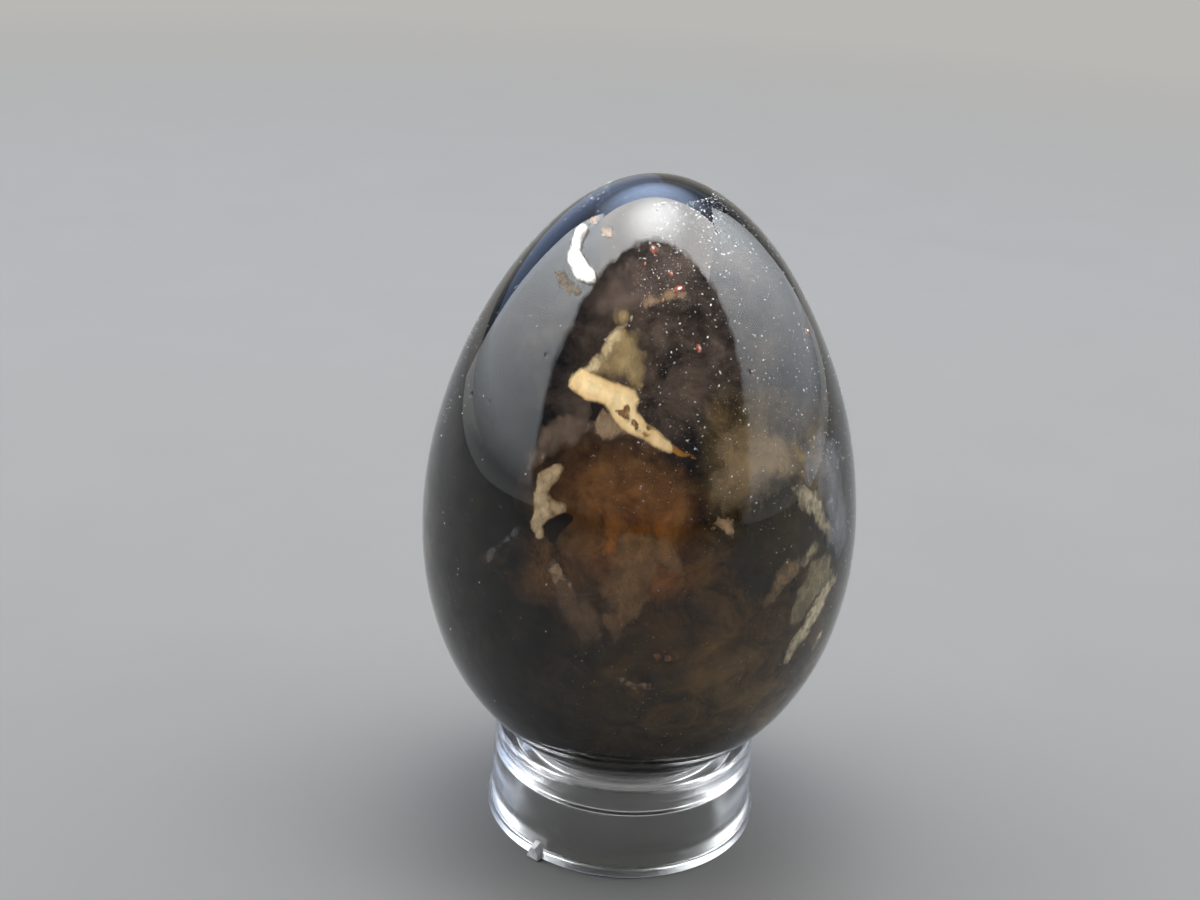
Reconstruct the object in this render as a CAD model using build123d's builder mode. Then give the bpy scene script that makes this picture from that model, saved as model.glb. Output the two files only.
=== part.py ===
from build123d import *
import math
import os

# A polished stone egg that rests, blunt end down, in a clear moulded ring.
# Millimetres. The origin is the middle of the ring's foot, +Z is up, and the front looks along -Y.

# Egg: pole to pole, widest place, and how much the outline leans to the blunt end and fills out
egg_length = 50.0
egg_width = 35.0
egg_taper = 0.16
egg_fullness = 0.024
outline_points = 32

# Seat: a narrow cone at the egg's own slope, where the egg touches the ring
seat_radius = 9.0
seat_width = 0.8
seat_clearance = 0.1

# Ring: flat rim outside the seat, drafted wall, bead at the foot, a short funnel under the seat,
# and a lip that the hollow of the ring runs up to
ring_height = 8.1
rim_width = 1.6
rim_round = 0.5
wall_draft = 0.3
bead_proud = 0.2
bead_height = 0.8
bead_round = 0.15
funnel_width = 0.3
lip_width = 0.9
lip_height = 0.6
hollow_height = 5.0

# Stub of the moulding gate on the bead, turned from +X towards +Y
gate_azimuth = -125.0
gate_width = 1.6
gate_tip_width = 1.0
gate_height = 1.5
gate_proud = 0.5

# Mineral inclusions: where each sits on the egg, how deep it goes, and its outline on the skin, right and up
cream_vein_azimuth = -95.9
cream_vein_height = 36.6
cream_vein_depth = 1.8
cream_vein_outline = [
    (-4.3, 1.3),
    (-3.6, 2.55),
    (-2.7, 2.5),
    (-0.7, 1.75),
    (0.75, 1.2),
    (0.95, -0.45),
    (2.9, -1.5),
    (4.3, -2.55),
    (3.0, -2.8),
    (1.0, -2.0),
    (-0.65, -1.2),
    (-1.5, 0.1),
    (-3.3, 0.5),
]
crown_vein_azimuth = -126.9
crown_vein_drop = 4.6
crown_vein_depth = 1.5
crown_vein_outline = [
    (-2.0, 2.0),
    (-1.3, 2.7),
    (-0.5, 2.2),
    (-0.5, 0.9),
    (0.5, -0.1),
    (1.4, -1.6),
    (1.0, -2.2),
    (0.3, -2.0),
    (-0.7, -0.9),
    (-1.3, 0.5),
]
side_flake_azimuth = -112.7
side_flake_height = 29.9
side_flake_depth = 1.2
side_flake_outline = [
    (-1.15, 1.9),
    (-0.1, 3.1),
    (0.55, 3.2),
    (0.5, 1.5),
    (0.0, 0.5),
    (0.6, 0.05),
    (2.05, -0.5),
    (0.9, -0.9),
    (-0.1, -1.9),
    (-0.1, -3.1),
    (-0.8, -2.8),
    (-1.05, -1.5),
]


def outline_share(share):
    """Radius of the unscaled egg, where share runs from -1 at the lower pole to 1 at the upper one."""
    return math.sqrt(max(1 - share**2, 0)) * (1 - egg_taper * share - egg_fullness * share**2)


search_steps = 2000
widest_share = max(outline_share(2 * step / search_steps - 1) for step in range(search_steps + 1))


def egg_radius(height):
    """Radius of the egg at a height above its lower pole."""
    return egg_width / 2 * outline_share(2 * height / egg_length - 1) / widest_share


def outline_point(turn):
    """Point of the egg's outline: up the right side in the first half turn, down the left in the second."""
    height = egg_length / 2 * (1 - math.cos(turn))
    return (math.copysign(egg_radius(height), math.sin(turn)), egg_pole + height)


def egg_flare(height):
    """How fast the egg widens with height."""
    step = egg_length / search_steps
    return (egg_radius(height + step) - egg_radius(height - step)) / (2 * step)


def height_of_radius(radius):
    """Height above the lower pole where the egg's lower end is as wide as this radius."""
    low = 0
    high = egg_length / 3
    for halving in range(50):
        middle = (low + high) / 2
        if egg_radius(middle) < radius:
            low = middle
        else:
            high = middle
    return low


# The seat follows the egg, the ring is built around the seat, and the egg stands on it
seat_on_egg = height_of_radius(seat_radius)
seat_slope = math.atan(1 / egg_flare(seat_on_egg))
seat_reach = seat_width / 2 * math.cos(seat_slope)
seat_rise = seat_width / 2 * math.sin(seat_slope)
egg_pole = ring_height - seat_rise - seat_on_egg + seat_clearance / math.cos(seat_slope)

wall_top_radius = seat_radius + seat_reach + rim_width
wall_foot_radius = wall_top_radius + wall_draft
bead_radius = wall_foot_radius + bead_proud
lip_radius = seat_radius - seat_reach - funnel_width
hollow_radius = lip_radius + lip_width


def skin_plane(azimuth, height):
    """Plane that touches the egg, with its first axis to the right and its second axis up the skin."""
    turn = math.radians(azimuth)
    radius = egg_radius(height)
    return Plane(
        origin=(radius * math.cos(turn), radius * math.sin(turn), egg_pole + height),
        x_dir=(-math.sin(turn), math.cos(turn), 0),
        z_dir=(math.cos(turn), math.sin(turn), -egg_flare(height)),
    )


def prism_through_skin(azimuth, height, depth, outline):
    """Prism of an inclusion's outline, from its depth in the stone to the same distance outside the skin."""
    with BuildPart() as prism:
        with BuildSketch(skin_plane(azimuth, height)):
            with BuildLine():
                Polyline(*outline, close=True)
            make_face()
        extrude(amount=depth, both=True)
    return prism.part


# Whole egg, before the inclusions take their place in it. Its skin is a front and a back face.
with BuildPart() as egg_blank:
    with BuildSketch(Plane.XZ) as half_egg:
        with BuildLine():
            turns = [2 * math.pi * point / outline_points for point in range(outline_points)]
            Spline([outline_point(turn) for turn in turns], periodic=True)
        make_face()
        split(bisect_by=Plane.YZ)
    for half_turn in (180, -180):
        revolve(half_egg.sketch, axis=Axis.Z, revolution_arc=half_turn, clean=False)

cream_prism = prism_through_skin(cream_vein_azimuth, cream_vein_height, cream_vein_depth, cream_vein_outline)
crown_vein_height = egg_length - crown_vein_drop
crown_prism = prism_through_skin(crown_vein_azimuth, crown_vein_height, crown_vein_depth, crown_vein_outline)
flake_prism = prism_through_skin(side_flake_azimuth, side_flake_height, side_flake_depth, side_flake_outline)

# Cream vein across the front
with BuildPart() as cream_vein:
    add(cream_prism)
    add(egg_blank.part, mode=Mode.INTERSECT)

# White vein near the crown
with BuildPart() as crown_vein:
    add(crown_prism)
    add(egg_blank.part, mode=Mode.INTERSECT)

# Pale flake left of the middle
with BuildPart() as side_flake:
    add(flake_prism)
    add(egg_blank.part, mode=Mode.INTERSECT)

# Stone around the inclusions, with a pocket for each
with BuildPart() as stone_egg:
    add(egg_blank.part, clean=False)
    for prism in (cream_prism, crown_prism, flake_prism):
        add(prism, clean=False, mode=Mode.SUBTRACT)

# Clear ring: drafted wall on a bead, seat for the egg, funnel, lip and hollow
with BuildPart() as stand_ring:
    with BuildSketch(Plane.XZ) as section:
        with BuildLine():
            Polyline(
                (hollow_radius, 0),
                (bead_radius, 0),
                (bead_radius, bead_height),
                (wall_foot_radius, bead_height),
                (wall_top_radius, ring_height),
                (seat_radius + seat_reach, ring_height),
                (seat_radius - seat_reach, ring_height - 2 * seat_rise),
                (lip_radius, hollow_height + lip_height),
                (lip_radius, hollow_height),
                (hollow_radius, hollow_height),
                close=True,
            )
        make_face()
        fillet(section.vertices().group_by(Axis.X)[-1], bead_round)
        fillet(section.vertices().group_by(Axis.Y)[-1].sort_by(Axis.X)[-1], rim_round)
    revolve(axis=Axis.Z)

    # The gate's stub starts inside the wall and narrows to a broken tip outside the bead
    gate_turn = math.radians(gate_azimuth)
    gate_root = (hollow_radius + wall_foot_radius) / 2
    gate_plane = Plane(
        origin=(gate_root * math.cos(gate_turn), gate_root * math.sin(gate_turn), 0),
        x_dir=(-math.sin(gate_turn), math.cos(gate_turn), 0),
        z_dir=(math.cos(gate_turn), math.sin(gate_turn), 0),
    )
    with BuildSketch(gate_plane):
        with BuildLine():
            Polyline(
                (-gate_width / 2, 0),
                (gate_width / 2, 0),
                (gate_tip_width / 2, gate_height),
                (-gate_tip_width / 2, gate_height),
                close=True,
            )
        make_face()
    extrude(amount=bead_radius + gate_proud - gate_root)

os.makedirs("parts", exist_ok=True)

stone_egg.part.label = "stone_egg"
export_step(stone_egg.part, "parts/stone_egg.step")

cream_vein.part.label = "cream_vein"
export_step(cream_vein.part, "parts/cream_vein.step")

crown_vein.part.label = "crown_vein"
export_step(crown_vein.part, "parts/crown_vein.step")

side_flake.part.label = "side_flake"
export_step(side_flake.part, "parts/side_flake.step")

stand_ring.part.label = "stand_ring"
export_step(stand_ring.part, "parts/stand_ring.step")
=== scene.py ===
import math
import random
from collections import namedtuple
from functools import lru_cache

import bmesh
import bpy
from bpy.props import FloatProperty, FloatVectorProperty, IntProperty, PointerProperty
from mathutils import Matrix, Vector, kdtree, noise


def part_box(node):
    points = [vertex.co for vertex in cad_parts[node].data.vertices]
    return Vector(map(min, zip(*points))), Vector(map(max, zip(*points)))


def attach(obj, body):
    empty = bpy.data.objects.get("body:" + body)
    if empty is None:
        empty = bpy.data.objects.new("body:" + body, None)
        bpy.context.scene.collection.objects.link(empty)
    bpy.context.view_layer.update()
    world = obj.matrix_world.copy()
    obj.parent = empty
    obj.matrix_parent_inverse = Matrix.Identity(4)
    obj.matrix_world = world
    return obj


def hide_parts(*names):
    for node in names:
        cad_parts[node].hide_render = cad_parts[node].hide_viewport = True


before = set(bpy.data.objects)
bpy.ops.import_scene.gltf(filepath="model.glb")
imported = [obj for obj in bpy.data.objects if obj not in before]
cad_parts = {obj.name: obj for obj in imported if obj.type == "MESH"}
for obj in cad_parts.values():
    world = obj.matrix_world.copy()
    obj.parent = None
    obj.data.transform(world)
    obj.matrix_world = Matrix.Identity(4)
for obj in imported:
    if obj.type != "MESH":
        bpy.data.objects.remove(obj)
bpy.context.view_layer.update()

bl_info = {
    "name": "Stone Egg on a Clear Ring",
    "version": (1, 0, 0),
    "blender": (4, 5, 0),
    "location": "View3D > Sidebar > Stone Egg",
    "description": "Dresses a polished smoky stone egg and the clear ring that it stands on",
    "category": "Object",
}

MM = 0.001
EGG_LOW, EGG_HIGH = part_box("stone_egg")
RING_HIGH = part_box("stand_ring")[1]
EGG_LENGTH = EGG_HIGH.z - EGG_LOW.z
EGG_WIDTH = EGG_HIGH.x - EGG_LOW.x
STONE_BODY = "smoky_stone_body"
WHITE = (1.0, 1.0, 1.0, 1.0)

# Each outline lies on the skin of the egg: millimetres to the right and up, seen from outside

CREAM_VEIN = [
    (-3.3, 1.0), (-3.2, 1.6), (-3.0, 2.0), (-2.6, 2.4), (-2.1, 2.3), (-1.6, 2.1), (-0.6, 1.8),
    (0.4, 1.6), (1.3, 1.4), (1.7, 1.3), (2.0, 0.7), (1.9, 0.0), (2.3, -0.5), (2.8, -0.9), (3.5, -1.2),
    (4.1, -1.6), (4.7, -1.9), (5.1, -2.4), (5.0, -2.8), (4.4, -2.7), (3.6, -2.4), (2.8, -2.1),
    (2.2, -2.0), (1.6, -1.8), (0.9, -1.4), (0.3, -0.9), (-0.1, -0.4), (-0.6, 0.1), (-1.2, 0.1),
    (-1.8, 0.2), (-2.2, 0.4), (-2.8, 0.7),
]
CROWN_VEIN = [
    (-1.9, 1.6), (-1.6, 0.7), (-1.3, -0.2), (-0.9, -0.9), (-0.1, -1.5), (0.8, -1.9), (1.6, -1.9),
    (1.9, -1.6), (1.4, -1.0), (0.6, -0.5), (-0.1, -0.1), (-0.8, 0.5), (-1.0, 1.3), (-1.1, 2.0),
    (-1.5, 2.5), (-1.9, 2.3),
]
SIDE_FLAKE = [
    (-1.1, 1.9), (-1.2, 1.1), (-1.2, 0.5), (-1.2, -0.1), (-1.1, -0.6), (-1.0, -1.3), (-1.2, -1.8),
    (-1.0, -2.4), (-0.7, -2.7), (-0.6, -3.0), (-0.1, -2.9), (0.0, -2.6), (-0.2, -1.9), (0.1, -1.4),
    (0.5, -1.2), (0.8, -0.8), (1.2, -0.6), (1.4, -0.5), (1.5, -0.1), (1.3, 0.1), (1.0, 0.2), (0.7, 0.1),
    (0.2, 0.2), (0.0, 0.4), (-0.2, 0.6), (0.0, 0.9), (0.0, 1.1), (0.3, 1.5), (0.5, 2.0), (0.7, 2.5),
    (0.3, 2.8), (-0.1, 2.6), (-0.7, 2.1),
]
TAN_CLOUD = [
    (-2.8, -2.1), (-1.9, -0.9), (-1.2, 0.0), (-0.6, 1.0), (-0.3, 1.6), (0.2, 2.1), (1.4, 2.0),
    (1.9, 0.9), (2.2, -0.2), (2.2, -1.7), (0.9, -1.6), (-0.6, -1.4),
]
CLOUD_EDGE = [
    (-1.9, -2.0), (-1.0, -0.8), (-0.3, 0.1), (0.2, 1.1), (0.5, 1.8), (1.0, 2.3), (1.3, 2.0), (0.9, 1.2),
    (0.7, 0.4), (0.3, -0.4), (-0.2, -1.0), (-1.0, -1.4), (-1.4, -2.1),
]
PALE_CRACK = [
    (-1.0, -0.9), (-0.6, -0.5), (-0.3, -0.2), (0.1, 0.1), (0.3, 0.4), (0.7, 0.9), (0.7, 1.4),
    (0.9, 1.3), (0.9, 0.8), (0.5, 0.3), (0.2, 0.0), (-0.2, -0.4), (-0.5, -0.7), (-0.8, -1.1),
]
PALE_FLAKE = [
    (-1.0, -0.1), (-0.8, 0.5), (-0.4, 1.0), (0.2, 0.7), (0.8, 0.2), (1.5, -0.2), (1.0, -0.8),
    (0.1, -1.1), (-0.8, -0.8),
]
DARK_GAP = [
    (-0.7, 0.6), (-0.1, 0.6), (0.4, 0.6), (0.4, 0.2), (0.2, -0.2), (0.0, -0.8), (-0.3, -1.0),
    (-0.5, -0.7), (-0.3, -0.1), (-0.5, 0.3),
]
FLAKE_HOLE = [
    (-1.0, 0.0), (-0.7, 0.4), (-0.3, 0.6), (0.0, 1.0), (0.4, 1.1), (0.8, 1.1), (1.1, 1.0), (1.1, 0.7),
    (0.7, 0.2), (0.3, -0.3), (0.2, -0.6), (0.1, -1.0), (-0.1, -1.4), (-0.6, -1.2), (-0.8, -0.8),
]
RUST_TAIL = [
    (-0.8, 0.6), (-0.3, 0.3), (0.2, 0.0), (0.9, -0.3), (1.2, -0.5), (0.5, -0.4), (-0.2, -0.3),
    (-0.6, 0.0),
]
LONG_PIT = [
    (-0.7, 0.1), (-0.1, 0.3), (0.0, 0.7), (0.3, 0.7), (0.4, 0.2), (0.4, -0.4), (0.3, -0.7), (0.0, -0.3),
    (-0.4, -0.1),
]
THIN_PIT = [(-0.5, 0.4), (-0.2, 0.5), (0.2, 0.1), (0.4, -0.3), (0.1, -0.5), (-0.3, -0.1)]
ROUND_PIT = [(-0.4, 0.2), (0.0, 0.3), (0.3, 0.0), (0.2, -0.3), (-0.2, -0.2)]
CROWN_PIT = [
    (-1.7, 0.5), (-1.0, 0.8), (-0.2, 0.4), (0.6, 0.0), (1.3, -0.3), (1.4, -0.7), (0.7, -0.7),
    (-0.2, -0.5), (-1.1, -0.1),
]
SMALL_SPOT = [(-0.5, 0.1), (-0.3, 0.4), (0.2, 0.3), (0.5, -0.1), (0.2, -0.4), (-0.2, -0.3)]
DARK_CRACK = [
    (-0.8, -0.8), (-0.4, -0.3), (0.0, 0.1), (0.3, 0.5), (0.6, 0.6), (0.4, 0.3), (0.1, -0.1),
    (-0.3, -0.6),
]
TOP_PATCH = [
    (-1.0, -0.4), (-0.7, 0.0), (0.0, 0.1), (0.6, 0.4), (1.2, 0.8), (1.7, 0.6), (2.2, 0.4), (1.5, 0.0),
    (0.7, -0.2), (-0.2, -0.6), (-0.7, -1.1),
]
CROWN_SMOKE = [
    (-4.3, -1.5), (-3.4, 0.5), (-1.8, 2.1), (-0.2, 3.2), (1.9, 3.0), (3.4, 2.2), (4.0, 0.5),
    (3.1, -1.1), (1.0, -1.8), (-1.0, -2.4), (-3.1, -2.7),
]
LEFT_RIDGE = [
    (-2.2, -3.0), (-2.2, -1.7), (-1.8, -0.5), (-1.2, 0.6), (-0.2, 1.6), (0.9, 2.4), (1.8, 2.5),
    (1.9, 1.2), (1.3, 0.2), (0.4, -0.7), (-0.5, -1.6), (-1.3, -2.5),
]
RIGHT_ARM = [
    (-1.2, 3.9), (-0.1, 3.8), (1.3, 3.7), (2.6, 3.6), (3.1, 2.4), (3.8, 1.9), (3.8, 1.1), (2.8, 1.0),
    (2.1, 1.4), (1.9, 0.8), (1.5, -0.3), (1.4, -1.3), (1.0, -1.9), (0.5, -2.9), (0.0, -3.4),
    (-0.6, -4.5), (-0.9, -5.0), (-1.2, -4.4), (-1.5, -3.8), (-1.9, -3.2), (-1.9, -2.4), (-1.6, -1.9),
    (-2.0, -1.3), (-2.5, -0.8), (-2.3, -0.3), (-1.8, 0.3), (-1.4, 1.0), (-1.6, 1.7), (-1.4, 2.7),
]
LEFT_WEB = [
    (-2.4, 3.0), (-2.0, 3.1), (-1.4, 2.5), (-0.9, 2.1), (-0.3, 1.3), (0.2, 0.5), (0.9, 0.6), (1.5, 0.0),
    (1.9, -0.9), (2.0, -1.7), (1.6, -2.4), (1.1, -3.0), (0.4, -3.0), (-0.1, -2.3), (-0.6, -1.8),
    (-0.9, -0.9), (-1.4, 0.1), (-1.7, 1.0), (-2.1, 2.0),
]
LEFT_SLIVER = [
    (-0.6, 0.4), (-0.4, 1.0), (0.0, 0.7), (0.4, 0.1), (0.7, -0.3), (0.1, -0.5), (0.1, -1.2),
    (-0.1, -1.0), (-0.4, -0.3),
]
PINK_LINE = [(-0.6, 0.7), (-0.1, 0.5), (0.1, -0.2), (0.5, -0.7), (0.3, -0.8), (-0.1, -0.3), (-0.5, 0.3)]
GLOW_VEIL = [
    (-4.0, 2.1), (-3.0, 3.2), (-1.5, 3.7), (0.5, 3.4), (2.0, 3.0), (3.1, 2.4), (3.8, 1.2), (4.0, -0.3),
    (3.8, -1.6), (2.6, -1.6), (1.1, -1.2), (-0.6, -1.4), (-2.0, -1.6), (-3.2, -1.5), (-4.2, -0.5),
    (-4.4, 0.9),
]
RED_LINE = [
    (-1.2, -0.1), (-0.5, 0.1), (0.4, 0.0), (1.1, -0.1), (1.4, -0.3), (0.7, -0.4), (-0.3, -0.4),
    (-1.0, -0.3),
]
CENTRE_CRUMBS = [
    (-0.8, 0.6), (-0.5, 0.9), (-0.1, 0.6), (0.4, 0.7), (0.8, 0.3), (0.9, -0.3), (1.1, -0.9),
    (0.5, -0.7), (0.2, -0.3), (-0.3, -0.1), (-0.7, -0.4), (-0.9, 0.0),
]
LOW_CRUMBS = [
    (-1.3, 0.3), (-0.9, 0.3), (-0.4, 0.0), (0.2, -0.3), (0.7, -0.1), (1.2, -0.2), (1.6, -0.8),
    (0.9, -0.7), (0.3, -0.8), (-0.4, -0.6), (-1.0, -0.3),
]
CENTRE_FLECK = [(-0.5, -0.2), (-0.2, 0.1), (0.3, 0.3), (0.8, 0.1), (0.4, 0.0), (-0.1, -0.1)]
OLIVE_FACET = [
    (0.9, 4.9), (2.1, 4.7), (3.0, 4.1), (3.5, 3.3), (3.8, 2.6), (4.6, 2.0), (5.3, 1.4), (6.0, 0.6),
    (6.7, -0.5), (6.9, -1.8), (5.0, -1.9), (3.6, -2.1), (2.4, -2.4), (1.5, -2.9), (0.6, -3.5),
    (-0.1, -4.2), (-0.6, -5.0), (-1.7, -4.1), (-2.5, -3.2), (-3.3, -2.0), (-3.6, -0.5), (-3.3, 0.8),
    (-2.7, 1.9), (-1.6, 3.0), (-0.5, 4.0),
]
RIGHT_GLOW = [
    (-2.4, 1.4), (-0.8, 2.2), (0.8, 2.0), (2.8, 0.6), (4.0, -1.8), (2.9, -2.8), (0.2, -3.0),
    (-2.0, -3.4), (-3.8, -2.8), (-4.0, -1.4), (-3.2, 0.1),
]
RIGHT_CLOUD = [
    (-2.0, 2.1), (-1.6, 1.6), (-1.3, 0.8), (-1.2, 0.3), (-0.7, 0.1), (0.2, -0.7), (1.2, -2.0),
    (1.9, -2.9), (2.7, -3.3), (2.4, -2.3), (1.6, -0.9), (1.2, 0.3), (0.4, 1.2), (-0.8, 1.8),
]
RIGHT_SHINE = [
    (-1.8, 4.3), (-0.4, 4.8), (1.0, 4.6), (2.6, 3.4), (3.6, 1.2), (4.0, -2.1), (3.5, -4.8), (2.0, -5.7),
    (0.7, -4.2), (0.0, -2.4), (-0.3, -0.3), (-1.1, 0.9), (-2.0, 1.7), (-2.2, 3.2),
]
SHORT_BAND = [(1.0, 0.8), (1.4, 0.3), (0.6, -0.2), (-0.4, -0.9), (-0.9, -0.7), (-0.6, 0.0), (0.1, 0.6)]
BROWN_BAND = [
    (0.4, 1.4), (1.6, 1.1), (1.5, 0.3), (0.8, -0.4), (-0.1, -1.0), (-1.1, -1.8), (-1.7, -1.9),
    (-1.6, -1.2), (-1.0, -0.3), (-0.8, 0.6),
]
HAZE_BAND = [
    (-0.5, 2.3), (0.9, 2.5), (2.5, 2.6), (3.2, 1.0), (2.3, -0.1), (0.8, -0.4), (-0.1, -1.3),
    (-0.9, -2.1), (-2.0, -1.8), (-2.0, -0.4), (-1.5, 0.6), (-1.1, 1.6),
]
CREAM_STREAK = [
    (3.6, 2.5), (2.8, 1.8), (2.0, 1.3), (1.4, 0.3), (0.4, -0.5), (-0.3, -1.5), (-1.4, -2.3),
    (-2.0, -3.4), (-2.5, -3.3), (-2.5, -2.1), (-1.9, -0.8), (-1.0, 0.0), (-0.4, 1.0), (0.6, 1.9),
    (1.7, 2.6),
]
PALE_LINE = [(0.6, 0.7), (0.4, 0.2), (-0.2, -0.8), (-0.6, -0.7), (-0.3, 0.2), (-0.2, 1.1)]
LEFT_CRESCENT = [
    (-0.7, -0.3), (-0.1, 0.6), (0.5, 1.4), (1.0, 1.8), (0.9, 1.1), (0.3, 0.3), (-0.4, -0.5),
    (-1.5, -1.8), (-2.4, -3.3), (-2.8, -3.1), (-1.7, -1.5),
]

# Broken face of the moulding gate: millimetres to the right and up, seen from outside
GATE_STUB = [(-0.72, 0.05), (0.70, 0.05), (0.62, 0.75), (0.30, 1.42), (-0.22, 1.45), (-0.50, 0.80)]

# Copper-red flakes with a painted glint on them: azimuth in degrees, height up the egg in millimetres,
# and size. The flake lies under the skin, and a smaller pale flake stands out of the skin over it,
# a painted highlight where the flake throws the light back.
FLAKE_DEPTH = 0.25
SPARK_PROUD = 0.010
SPARK_SHARE = 0.42
GLINTS = (
    (-92.0, 46.5, 0.9), (-78.9, 44.2, 1.0), (-73.0, 40.6, 0.7), (-86.1, 43.5, 0.35), (-95.2, 45.6, 0.3),
    (-82.2, 45.1, 0.4), (-20.0, 40.0, 0.6), (40.0, 36.0, 0.7), (120.0, 42.0, 0.8), (160.0, 30.0, 0.6),
)

# What a cloudy mineral looks like: its two tones, how well it covers, how wide its edge fades in
# millimetres, the scale of its grain, and how much the grain shows
Finish = namedtuple("Finish", "pale dark cover fade grain mottle")
FINISHES = {
    "cream_vein": Finish((0.95, 0.71, 0.37), (0.60, 0.34, 0.12), 1.00, 0.50, 700, 0.50),
    "white_vein": Finish((0.97, 0.95, 0.90), (0.62, 0.55, 0.44), 1.00, 0.40, 1300, 0.80),
    "tan_flake": Finish((0.52, 0.38, 0.22), (0.20, 0.12, 0.055), 0.97, 0.30, 1000, 1.00),
    "tan_veil": Finish((0.38, 0.27, 0.125), (0.20, 0.13, 0.055), 0.85, 1.40, 600, 0.80),
    "cloud_cream": Finish((0.80, 0.63, 0.37), (0.46, 0.34, 0.18), 0.85, 0.65, 900, 1.00),
    "pink_veil": Finish((0.40, 0.27, 0.16), (0.22, 0.13, 0.07), 0.75, 0.75, 1000, 0.80),
    "pit_brown": Finish((0.24, 0.12, 0.04), (0.09, 0.04, 0.015), 0.90, 0.20, 1800, 1.00),
    "rust": Finish((0.46, 0.20, 0.03), (0.24, 0.09, 0.02), 0.85, 0.22, 1200, 0.80),
    "pit_grey": Finish((0.26, 0.20, 0.13), (0.04, 0.03, 0.018), 0.88, 0.45, 2200, 1.00),
    "peach": Finish((0.50, 0.35, 0.23), (0.26, 0.16, 0.09), 0.75, 0.40, 1600, 1.00),
    "crack_pale": Finish((0.55, 0.48, 0.36), (0.28, 0.22, 0.14), 0.75, 0.12, 2200, 1.00),
    # Near-black: painted shade in a gap by the cream vein and in a hole by the side flake
    "gap_dark": Finish((0.016, 0.012, 0.008), (0.008, 0.006, 0.004), 1.00, 0.28, 900, 0.50),
    "plum_smoke": Finish((0.32, 0.24, 0.21), (0.12, 0.09, 0.08), 0.40, 2.00, 600, 1.00),
    "ridge_haze": Finish((0.34, 0.24, 0.17), (0.12, 0.08, 0.05), 0.55, 0.90, 700, 1.00),
    "brown_veil": Finish((0.42, 0.235, 0.10), (0.13, 0.07, 0.027), 0.72, 0.62, 900, 1.00),
    "web_veil": Finish((0.38, 0.235, 0.13), (0.12, 0.07, 0.035), 0.66, 0.75, 700, 1.00),
    "pale_veil": Finish((0.75, 0.52, 0.32), (0.35, 0.22, 0.12), 0.65, 0.30, 1400, 1.00),
    # Orange veil: a faint cloud in the stone, painted bright to stand for the glow of light in it
    "orange_veil": Finish((0.60, 0.29, 0.09), (0.30, 0.14, 0.045), 0.28, 2.40, 420, 1.00),
    "red_crack": Finish((0.80, 0.30, 0.10), (0.34, 0.12, 0.05), 0.70, 0.25, 1600, 1.00),
    "olive_dark": Finish((0.040, 0.030, 0.010), (0.015, 0.012, 0.004), 0.80, 2.20, 600, 0.80),
    # Haze: a faint cloud in the stone, painted bright to stand for the glow of light in it
    "haze": Finish((0.62, 0.47, 0.28), (0.32, 0.23, 0.12), 0.62, 3.20, 450, 0.55),
    "skin_haze": Finish((0.42, 0.35, 0.24), (0.14, 0.115, 0.075), 0.80, 0.80, 1400, 1.00),
    # Blue shine: bluish grey sheet that paints the glassy sheen and reflection at the right edge of the
    # stone
    "blue_shine": Finish((0.42, 0.45, 0.50), (0.08, 0.09, 0.11), 0.45, 1.40, 700, 1.00),
    "olive_haze": Finish((0.46, 0.39, 0.23), (0.17, 0.14, 0.07), 0.65, 0.85, 1000, 1.00),
    "olive_band": Finish((0.54, 0.46, 0.28), (0.22, 0.18, 0.10), 0.75, 0.50, 1100, 1.00),
    "band_brown": Finish((0.36, 0.24, 0.12), (0.14, 0.085, 0.035), 0.75, 0.55, 1000, 1.00),
    # Cream veil: pale streaks along cracks, partly their own pale colour, partly a painted glint of light
    # off the crack
    "cream_veil": Finish((0.60, 0.51, 0.34), (0.20, 0.16, 0.09), 0.90, 0.65, 1400, 1.00),
    "grey_veil": Finish((0.40, 0.42, 0.44), (0.15, 0.16, 0.17), 0.45, 0.50, 700, 1.00),
}

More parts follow.
